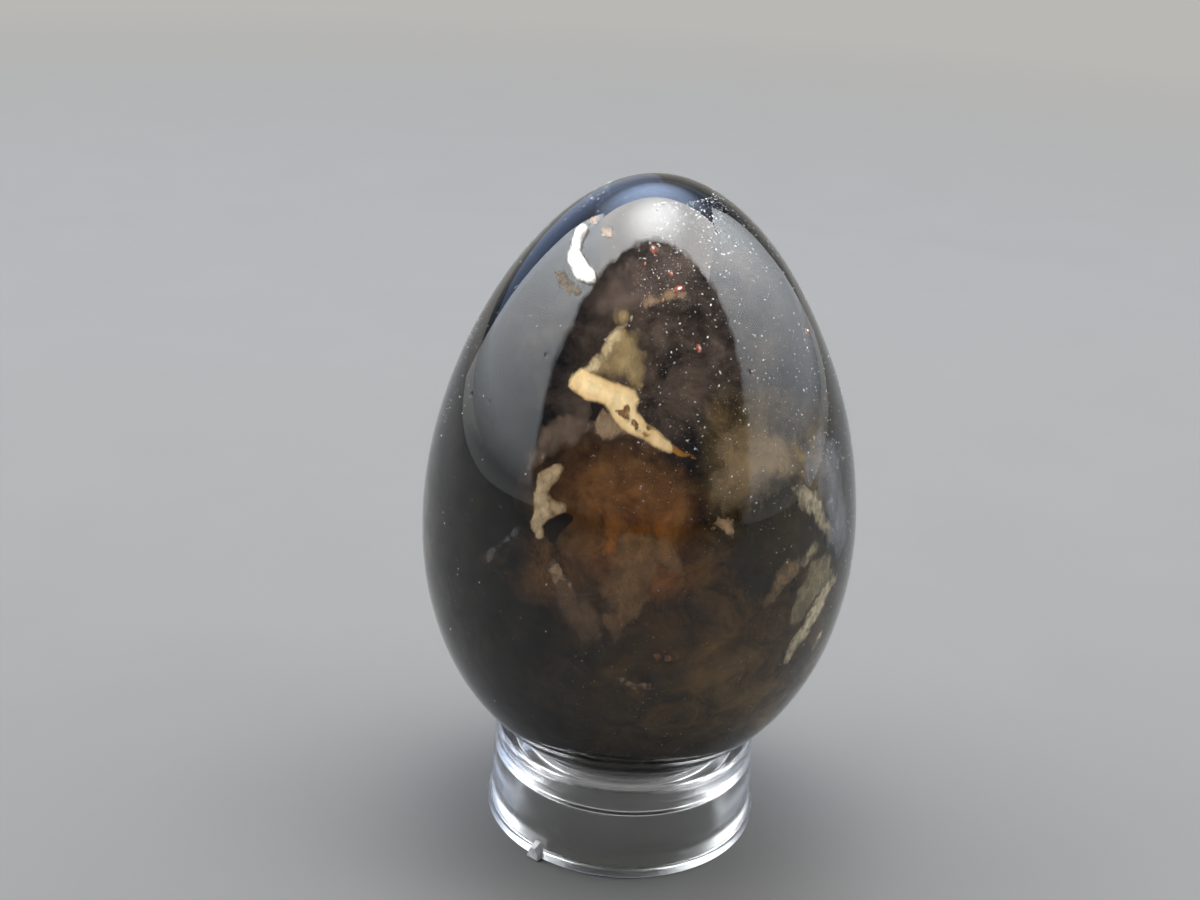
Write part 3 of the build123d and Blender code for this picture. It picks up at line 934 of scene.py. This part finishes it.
def cloudy_mineral():
    """Node group of a cloudy mineral: its mottled colour, and its cover, which breaks up at the edge."""
    name = "cloudy_mineral"
    if name in bpy.data.node_groups:
        return bpy.data.node_groups[name]
    group = bpy.data.node_groups.new(name, "ShaderNodeTree")
    for socket in ("Pale", "Dark"):
        group.interface.new_socket(socket, in_out="INPUT", socket_type="NodeSocketColor")
    for socket in ("Cover", "Fade", "Grain", "Mottle"):
        group.interface.new_socket(socket, in_out="INPUT", socket_type="NodeSocketFloat")
    group.interface.new_socket("Colour", in_out="OUTPUT", socket_type="NodeSocketColor")
    group.interface.new_socket("Alpha", in_out="OUTPUT", socket_type="NodeSocketFloat")
    given = add_node(group, "NodeGroupInput").outputs
    place = object_place(group)
    grain = given["Grain"]
    amount = given["Mottle"]
    mottle = soft_noise(group, place, grain, 8.0, 0.62, 0.3)["Fac"]
    tone = mix_values(group, amount, 0.6, spread(group, mottle, 0.34, 0.66, 0.0, 1.0))
    inputs = {"Vector": place, "Rotation": (0, 0.6, 0), "Scale": (1.5, 1.0, 0.8)}
    lean = add_node(group, "ShaderNodeMapping", inputs).outputs["Vector"]
    streaks = soft_noise(group, lean, grain, 5.0, 0.58)["Fac"]

    # The colour pales from the edge inwards
    edge = add_node(group, "ShaderNodeAttribute", attribute_name="from_edge").outputs["Fac"]
    inside = calculate(group, "DIVIDE", edge, given["Fade"])
    depth = spread(group, inside, 0.0, 2.2, -0.20, 0.50)
    pale = calculate(group, "ADD", depth, tone, clamp=True)
    colour = mix_colours(group, pale, given["Dark"], given["Pale"])

    # The cover fades at the edge and thins in the streaks
    breaks = multiply(group, spread(group, streaks, 0.30, 0.70, -0.35, 0.35), amount)
    cover = calculate(group, "ADD", inside, breaks)
    solid = spread(group, cover, 0.05, 0.75, 0.0, 1.0, "SMOOTHSTEP")
    thin = mix_values(group, amount, 1.0, spread(group, streaks, 0.34, 0.62, 0.45, 1.0))
    alpha = multiply(group, solid, multiply(group, thin, given["Cover"]))
    add_node(group, "NodeGroupOutput", {"Colour": colour, "Alpha": alpha})
    return group


def mineral_finish(name, polished):
    """Material of a mineral from its finish. A polished one is cut flush with the skin of the stone."""
    if name in bpy.data.materials:
        return bpy.data.materials[name]
    finish = FINISHES[name]
    material, tree, shader = new_material(name)
    inputs = {
        "Pale": rgba(finish.pale),
        "Dark": rgba(finish.dark),
        "Cover": finish.cover,
        "Fade": finish.fade,
        "Grain": finish.grain,
        "Mottle": finish.mottle,
    }
    cloud = add_node(tree, "ShaderNodeGroup", node_tree=cloudy_mineral())
    fill(tree, cloud, inputs)
    inputs = {
        "Base Color": cloud.outputs["Colour"],
        "Alpha": cloud.outputs["Alpha"],
        "Roughness": 0.10 if polished else 0.6,
        "Specular IOR Level": 0.5 if polished else 0.1,
    }
    fill(tree, shader, inputs)
    return material


def smoky_stone(settings):
    """See-through smoky stone with a hand polish and a few fine pits."""
    material, tree, shader = new_material("smoky_stone")
    place = object_place(tree)
    cells = add_node(tree, "ShaderNodeTexVoronoi", {"Vector": place, "Scale": 700.0}).outputs
    hole = spread(tree, cells["Distance"], 0.08, 0.20, 1.0, 0.0)
    chosen = calculate(tree, "GREATER_THAN", first_channel(tree, cells["Color"]), 0.86)
    inputs = {"Height": multiply(tree, hole, chosen), "Strength": 0.6, "Distance": 0.03 * MM}
    bump = add_node(tree, "ShaderNodeBump", inputs, invert=True)
    haze = soft_noise(tree, place, 250.0, 6.0)["Fac"]
    inputs = {
        "Base Color": WHITE,
        "Roughness": spread(tree, haze, 0.3, 0.7, 0.0, 0.05),
        "Normal": bump.outputs["Normal"],
        "Transmission Weight": 1.0,
        "IOR": 1.54,
    }
    fill(tree, shader, inputs)
    inputs = {"Color": rgba(settings.smoke), "Density": settings.smoke_density}
    smoke = add_node(tree, "ShaderNodeVolumeAbsorption", inputs)
    fill(tree, tree.nodes["Material Output"], {"Volume": smoke.outputs["Volume"]})
    return material


def smoky_core():
    """Mottled smoke in the heart of the stone: warm in front, partly a painted glow of light, dark to the
    left and below.
    """
    material, tree, shader = new_material("smoky_core")
    place = object_place(tree)
    drift = soft_noise(tree, place, 140.0, 5.0)["Color"]
    sway = 5 * MM
    inputs = {0: drift, 1: (2 * sway, 2 * sway, 2 * sway), 2: (-sway, -sway, -sway)}
    shift = add_node(tree, "ShaderNodeVectorMath", inputs, operation="MULTIPLY_ADD").outputs["Vector"]
    moved = add_node(tree, "ShaderNodeVectorMath", {0: place, 1: shift}, operation="ADD").outputs["Vector"]
    colour = rgba(CORE_DARK)
    # Zones of the smoke's own tones; the brightest warm ones also paint the glow of light in the stone
    for centre, inner, outer, zone in CORE_TONES_AND_GLOW:
        away = distance(tree, moved, [part * MM for part in centre])
        share = spread(tree, away, inner * MM, outer * MM, 1.0, 0.0)
        colour = mix_colours(tree, share, colour, rgba(zone))
    mottle = soft_noise(tree, place, 380.0, 9.0, 0.70, 0.4)["Fac"]
    inputs = {"Vector": moved, "Scale": 190.0, "Smoothness": 0.4}
    cracks = add_node(tree, "ShaderNodeTexVoronoi", inputs, feature="SMOOTH_F1").outputs["Color"]
    facet = spread(tree, first_channel(tree, cracks), 0.1, 0.9, 0.70, 1.30)
    shade = multiply(tree, spread(tree, mottle, 0.34, 0.66, 0.22, 1.72), facet)
    mottled = add_node(tree, "ShaderNodeVectorMath", {0: colour, "Scale": shade}, operation="SCALE")
    inputs = {"Base Color": mottled.outputs["Vector"], "Roughness": 0.9, "Specular IOR Level": 0.0}
    fill(tree, shader, inputs)
    return material


def flake_finish(name, colour, metallic, rough):
    """Tiny bright flake with a slightly uneven colour."""
    material, tree, shader = new_material(name)
    grain = soft_noise(tree, object_place(tree), 1500.0, 3.0)["Fac"]
    tone = spread(tree, grain, 0.35, 0.65, 0.0, 1.0)
    mixed = mix_colours(tree, tone, rgba([0.25 * part for part in colour]), rgba(colour))
    fill(tree, shader, {"Base Color": mixed, "Metallic": metallic, "Roughness": rough})
    return material


def clear_plastic(settings):
    """Clear moulded plastic: a little hazy on the wall, and frosted on the bead where the mould parted."""
    material, tree, shader = new_material("clear_plastic")
    place = object_place(tree)
    haze = soft_noise(tree, place, 400.0, 5.0)["Fac"]
    wall = spread(tree, haze, 0.3, 0.7, 0.10, 0.20)
    flat = add_node(tree, "ShaderNodeVectorMath", {0: place, 1: (1, 1, 0)}, operation="MULTIPLY")
    reach = distance(tree, flat.outputs["Vector"], (0, 0, 0))
    bead = RING_HIGH.x - settings.bead_proud
    blur = 0.1 * MM
    out = spread(tree, reach, bead - blur, bead + blur, 0.0, 1.0)
    height = coordinates(tree, place)["Z"]
    low = spread(tree, height, settings.bead_height, settings.bead_height + 2 * blur, 1.0, 0.0)
    frost = multiply(tree, multiply(tree, out, low), 0.35)
    inputs = {
        "Base Color": WHITE,
        "Roughness": calculate(tree, "ADD", wall, frost),
        "Transmission Weight": 1.0,
        "IOR": 1.49,
    }
    fill(tree, shader, inputs)
    return material


def torn_plastic():
    """Whitened plastic where the moulding gate broke off."""
    material, tree, shader = new_material("torn_plastic")
    grain = soft_noise(tree, object_place(tree), 1400.0, 6.0)["Fac"]
    tone = spread(tree, grain, 0.35, 0.65, 0.0, 1.0)
    bump = add_node(tree, "ShaderNodeBump", {"Height": grain, "Strength": 0.6, "Distance": 0.1 * MM})
    inputs = {
        "Base Color": mix_colours(tree, tone, (0.52, 0.49, 0.47, 1), (0.80, 0.77, 0.75, 1)),
        "Roughness": spread(tree, grain, 0.3, 0.7, 0.35, 0.6),
        "Normal": bump.outputs["Normal"],
    }
    fill(tree, shader, inputs)
    return material


def backdrop_share(tree, beyond, behind):
    """How much of the backdrop a ray meets: seen straight or through glass beyond, or mirrored behind."""
    path = add_node(tree, "ShaderNodeLightPath").outputs
    straight = calculate(tree, "MAXIMUM", path["Is Camera Ray"], path["Is Transmission Ray"])
    mirrored = multiply(tree, path["Is Glossy Ray"], behind)
    return calculate(tree, "MAXIMUM", multiply(tree, straight, beyond), mirrored)


def floor_finish(colour, backdrop):
    """Plain pale floor with a faint unevenness, which goes over into the backdrop far from the object."""
    material, tree, shader = new_material("floor")
    place = object_place(tree)
    grain = soft_noise(tree, place, 60.0, 6.0)["Fac"]
    tone = spread(tree, grain, 0.3, 0.7, 0.0, 1.0)
    mixed = mix_colours(tree, tone, rgba([0.97 * part for part in colour]), rgba(colour))
    fill(tree, shader, {"Base Color": mixed, "Roughness": 0.9, "Specular IOR Level": 0.2})
    beyond = spread(tree, distance(tree, place, (0, 0, 0)), 0.20, 0.45, 0.0, 1.0)
    behind = spread(tree, coordinates(tree, place)["Y"], 0.15, 0.45, 0.0, 1.0)
    glow = add_node(tree, "ShaderNodeEmission", {"Color": rgba(backdrop)})
    inputs = {
        0: backdrop_share(tree, beyond, behind),
        1: shader.outputs["BSDF"],
        2: glow.outputs["Emission"],
    }
    blend = add_node(tree, "ShaderNodeMixShader", inputs)
    fill(tree, tree.nodes["Material Output"], {"Surface": blend.outputs["Shader"]})
    return material


# Stage


def softbox(lamp, light, colour):
    """Area lamp turned to a point, brightest at one place and falling to a share of that at its reach."""
    width, height = lamp.size
    panel = bpy.data.lights.new(lamp.name, "AREA")
    panel.shape = "RECTANGLE"
    panel.size = width
    panel.size_y = height
    panel.energy = 4 * width * height * light
    panel.color = colour
    panel.use_nodes = True
    tree = panel.node_tree
    here = add_node(tree, "ShaderNodeNewGeometry").outputs["Position"]
    fall = spread(tree, distance(tree, here, lamp.bright_at), 0.0, lamp.reach, 1.0, lamp.rest, "SMOOTHSTEP")
    ripple = spread(tree, soft_noise(tree, here, 14.0, 4.0)["Fac"], 0.3, 0.7, -0.02, 0.02)
    edge = calculate(tree, "ADD", distance(tree, here, OPENING_CENTRE), ripple)
    lit = spread(tree, edge, OPENING_RADIUS - OPENING_BLUR, OPENING_RADIUS + OPENING_BLUR, 0.0, 1.0)
    foot = spread(tree, coordinates(tree, here)["Z"], 0.03, 0.08, 0.4, 1.0)
    strength = multiply(tree, fall, multiply(tree, lit, foot))
    fill(tree, tree.nodes["Emission"], {"Strength": strength})
    holder = bpy.data.objects.new(lamp.name, panel)
    bpy.context.scene.collection.objects.link(holder)
    holder.location = lamp.place
    holder.rotation_euler = (Vector(lamp.aim) - Vector(lamp.place)).to_track_quat("-Z", "Y").to_euler()
    holder.visible_camera = False


def room_world(settings):
    """World with a faint light all round, and the backdrop where it is seen or mirrored."""
    world = bpy.data.worlds.new("room")
    world.use_nodes = True
    tree = world.node_tree
    room = tree.nodes["Background"]
    fill(tree, room, {"Color": rgba(settings.room), "Strength": settings.room_light})
    pale = add_node(tree, "ShaderNodeBackground", {"Color": rgba(settings.backdrop)})
    way = add_node(tree, "ShaderNodeTexCoord").outputs["Generated"]
    behind = spread(tree, coordinates(tree, way)["Y"], 0.75, 0.97, 0.0, 1.0)
    inputs = {
        0: backdrop_share(tree, 1.0, behind),
        1: room.outputs["Background"],
        2: pale.outputs["Background"],
    }
    blend = add_node(tree, "ShaderNodeMixShader", inputs)
    fill(tree, tree.nodes["World Output"], {"Surface": blend.outputs["Shader"]})
    return world


def front_camera():
    """Camera in front of the egg, a little above it and slightly rolled."""
    lens = bpy.data.cameras.new("camera")
    lens.lens = 50
    lens.sensor_width = 36
    lens.clip_start = 0.01
    camera = bpy.data.objects.new("camera", lens)
    bpy.context.scene.collection.objects.link(camera)
    across = -CAMERA_DISTANCE * math.cos(CAMERA_TILT)
    up = CAMERA_PIVOT + CAMERA_DISTANCE * math.sin(CAMERA_TILT)
    stand = Vector((0, across, up))
    look = (Vector(CAMERA_AIM) - stand).normalized()
    right = look.cross(Vector((0, 0, 1))).normalized()
    level = frame_at(right, right.cross(look), -look, stand)
    camera.matrix_world = level @ Matrix.Rotation(CAMERA_ROLL, 4, "Z")
    return camera


# Steps, one for each piece or group of like pieces


class EGG_OT_stone_body(bpy.types.Operator):
    """Turns the outline of the egg into its polished stone body"""

    bl_idname = "egg.stone_body"
    bl_label = "Stone Body"

    def execute(self, context):
        settings = context.scene.egg_settings
        heights = [EGG_LENGTH * share for share in pole_to_pole(settings.rings)]
        outline = [(egg_radius(height), 0, EGG_LOW.z + height) for height in heights]
        piece = turned(STONE_BODY, outline, settings.turns)
        displace(piece, "polish_wave", 12 * MM, settings.polish_wave, 1.0)
        finish_piece(piece, "egg", smoky_stone(settings), "stone_egg")
        return {"FINISHED"}


class EGG_OT_mineral_veins(bpy.types.Operator):
    """Sets the three pale minerals that the polish has cut flush with the skin"""

    bl_idname = "egg.mineral_veins"
    bl_label = "Mineral Veins"

    def execute(self, context):
        for inclusion in VEINS:
            set_in_stone(inclusion, VEIN_LAYER)
        return {"FINISHED"}


class EGG_OT_skin_patches(bpy.types.Operator):
    """Sets the pits, stains and thin clouds that lie in the skin round the veins"""

    bl_idname = "egg.skin_patches"
    bl_label = "Skin Patches"

    def execute(self, context):
        for inclusion in SKIN_PATCHES:
            set_in_stone(inclusion, PATCH_LAYER)
        return {"FINISHED"}


class EGG_OT_clouds(bpy.types.Operator):
    """Sets the clouds and healed cracks under the skin, in front and behind"""

    bl_idname = "egg.clouds"
    bl_label = "Clouds and Cracks"

    def execute(self, context):
        for inclusion in CLOUDS + BACK_CLOUDS:
            set_in_stone(inclusion, CLOUD_LAYER)
        return {"FINISHED"}


class EGG_OT_smoky_core(bpy.types.Operator):
    """Makes the uneven smoke in the heart of the stone, with a painted glow in its warm zones"""

    bl_idname = "egg.smoky_core"
    bl_label = "Smoky Core"

    def execute(self, context):
        settings = context.scene.egg_settings
        inset = settings.core_inset
        narrower = 1 - 2 * inset / EGG_WIDTH
        low = EGG_LOW.z + inset
        length = EGG_LENGTH - 2 * inset
        outline = []
        for share in pole_to_pole(CORE_RINGS):
            outline.append((egg_radius(EGG_LENGTH * share) * narrower, 0, low + length * share))
        piece = turned("smoky_core", outline, CORE_TURNS)
        displace(piece, "core_lumps", 7 * MM, settings.core_lumps, 0.6)
        displace(piece, "core_grain", 2 * MM, settings.core_grain, 0.5)
        wrap_to_skin(piece, "INSIDE", settings.core_cover)
        finish_piece(piece, "egg", smoky_core())
        return {"FINISHED"}


class EGG_OT_flakes(bpy.types.Operator):
    """Strews the bright specks, the brown dust and the copper-red flakes, with pale flakes over them as
    painted glints
    """

    bl_idname = "egg.flakes"
    bl_label = "Specks and Flakes"

    def execute(self, context):
        settings = context.scene.egg_settings
        dice = random.Random(7)
        # Bright specks: frosted chips in the polish, whose white is partly a painted glint of the light
        # that they catch
        speck = flake_finish("bright_speck", settings.speck_colour, 0.0, 0.3)
        strew("bright_specks", speck_places(dice, settings.specks), speck)
        grain = flake_finish("brown_dust", settings.dust_colour, 0.0, 0.8)
        strew("brown_dust", dust_places(dice, settings.dust), grain)
        flakes = []
        sparks = []
        for azimuth, height, size in GLINTS:
            turn = dice.uniform(0, math.tau)
            tip = dice.uniform(-0.3, 0.3)
            flakes.append(flake_place(azimuth, height, FLAKE_DEPTH, size, tip, turn))
            sparks.append(flake_place(azimuth, height, -SPARK_PROUD, SPARK_SHARE * size, 0, turn))
        copper = flake_finish("copper_flake", settings.copper, 0.3, 0.35)
        strew("copper_flakes", flakes, copper)
        # A pale flake over each copper one: a painted highlight, not a mineral
        spark = flake_finish("glint_spark", settings.spark, 0.0, 0.2)
        strew("glint_sparks", sparks, spark)
        return {"FINISHED"}


class EGG_OT_clear_ring(bpy.types.Operator):
    """Turns the section of the moulded ring, with its seat, lip, hollow and bead"""

    bl_idname = "egg.clear_ring"
    bl_label = "Clear Ring"

    def execute(self, context):
        settings = context.scene.ring_settings
        bead = RING_HIGH.x
        foot = bead - settings.bead_proud
        rim = foot - settings.wall_draft
        seat = rim - settings.rim_width
        funnel = seat - settings.seat_width
        lip = funnel - settings.funnel_width
        hollow = lip + settings.lip_width
        top = RING_HIGH.z
        section = [
            (hollow, 0, 0),
            (bead, 0, 0),
            (bead, 0, settings.bead_height),
            (foot, 0, settings.bead_height),
            (rim, 0, top),
            (seat, 0, top),
            (funnel, 0, top - settings.seat_drop),
            (lip, 0, settings.hollow_height + settings.lip_height),
            (lip, 0, settings.hollow_height),
            (hollow, 0, settings.hollow_height),
        ]
        piece = draw_chain("clear_ring", section, closed=True)
        near = 0.01 * MM
        roundings = (
            (lambda place: place.z > top - near and place.x > rim - near, settings.rim_round, 6),
            (lambda place: place.x > bead - near, settings.bead_round, 4),
            (lambda place: place.x < seat + near, settings.inner_round, 3),
        )
        for test, offset, segments in roundings:
            select_points(piece, test)
            bpy.ops.mesh.bevel(offset=offset, segments=segments, affect="VERTICES")
        select_all()
        bpy.ops.mesh.delete(type="ONLY_FACE")
        select_all()
        lathe(settings.turns)
        leave_edit(6)
        finish_piece(piece, "stand", clear_plastic(settings), "stand_ring")
        return {"FINISHED"}


class EGG_OT_gate_stub(bpy.types.Operator):
    """Makes the torn stub where the moulding gate broke off the bead"""

    bl_idname = "egg.gate_stub"
    bl_label = "Gate Stub"

    def execute(self, context):
        settings = context.scene.ring_settings
        root = RING_HIGH.x - settings.bead_proud - settings.gate_root
        reach = RING_HIGH.x + settings.gate_proud - root
        outline = [(right * MM, up * MM, 0) for right, up in GATE_STUB]
        foot = GATE_STUB[0][1] * MM
        piece = draw_chain("gate_stub", outline, closed=True)
        bpy.ops.mesh.extrude_region_move(TRANSFORM_OT_translate={"value": (0, 0, reach)})
        bpy.ops.transform.resize(value=(0.8, 0.72, 1.0), center_override=(0, foot, reach))
        select_all()
        bpy.ops.mesh.quads_convert_to_tris()
        bpy.ops.mesh.subdivide(number_cuts=3, smoothness=0.0, fractal=0.5, fractal_along_normal=0.4, seed=3)
        bpy.ops.mesh.normals_make_consistent(inside=False)
        leave_edit(35)
        turn = settings.gate_azimuth
        right = Vector((-math.sin(turn), math.cos(turn), 0))
        out = Vector((math.cos(turn), math.sin(turn), 0))
        set_down(piece, frame_at(right, Vector((0, 0, 1)), out, out * root))
        finish_piece(piece, "stand", torn_plastic())
        return {"FINISHED"}


class EGG_OT_stage(bpy.types.Operator):
    """Sets the floor, the lamps and the camera"""

    bl_idname = "egg.stage"
    bl_label = "Stage"

    def execute(self, context):
        settings = context.scene.stage_settings
        scene = context.scene
        deselect()
        bpy.ops.mesh.primitive_plane_add(size=6.0, location=(0, 0, -0.05 * MM))
        floor = context.object
        floor.name = "floor"
        floor.data.materials.append(floor_finish(settings.floor, settings.backdrop))
        for lamp in LAMPS:
            softbox(lamp, getattr(settings, lamp.light), getattr(settings, lamp.colour))
        scene.world = room_world(settings)
        scene.camera = front_camera()
        scene.view_settings.view_transform = "Standard"
        return {"FINISHED"}


class EGG_PT_panel(bpy.types.Panel):
    """Lists the steps of the egg"""

    bl_idname = "EGG_PT_panel"
    bl_label = "Stone Egg"
    bl_space_type = "VIEW_3D"
    bl_region_type = "UI"
    bl_category = "Stone Egg"

    def draw(self, context):
        for step in STEPS:
            self.layout.operator(step.bl_idname)


STEPS = (
    EGG_OT_stone_body,
    EGG_OT_mineral_veins,
    EGG_OT_skin_patches,
    EGG_OT_clouds,
    EGG_OT_smoky_core,
    EGG_OT_flakes,
    EGG_OT_clear_ring,
    EGG_OT_gate_stub,
    EGG_OT_stage,
)
CLASSES = (EggSettings, RingSettings, StageSettings, *STEPS, EGG_PT_panel)


def register():
    for part in CLASSES:
        bpy.utils.register_class(part)
    bpy.types.Scene.egg_settings = PointerProperty(type=EggSettings)
    bpy.types.Scene.ring_settings = PointerProperty(type=RingSettings)
    bpy.types.Scene.stage_settings = PointerProperty(type=StageSettings)


def unregister():
    del bpy.types.Scene.stage_settings
    del bpy.types.Scene.ring_settings
    del bpy.types.Scene.egg_settings
    for part in reversed(CLASSES):
        bpy.utils.unregister_class(part)


def main():
    register()
    bpy.ops.egg.stone_body()
    bpy.ops.egg.mineral_veins()
    bpy.ops.egg.skin_patches()
    bpy.ops.egg.clouds()
    bpy.ops.egg.smoky_core()
    bpy.ops.egg.flakes()
    bpy.ops.egg.clear_ring()
    bpy.ops.egg.gate_stub()
    bpy.ops.egg.stage()


if __name__ == "__main__":
    main()
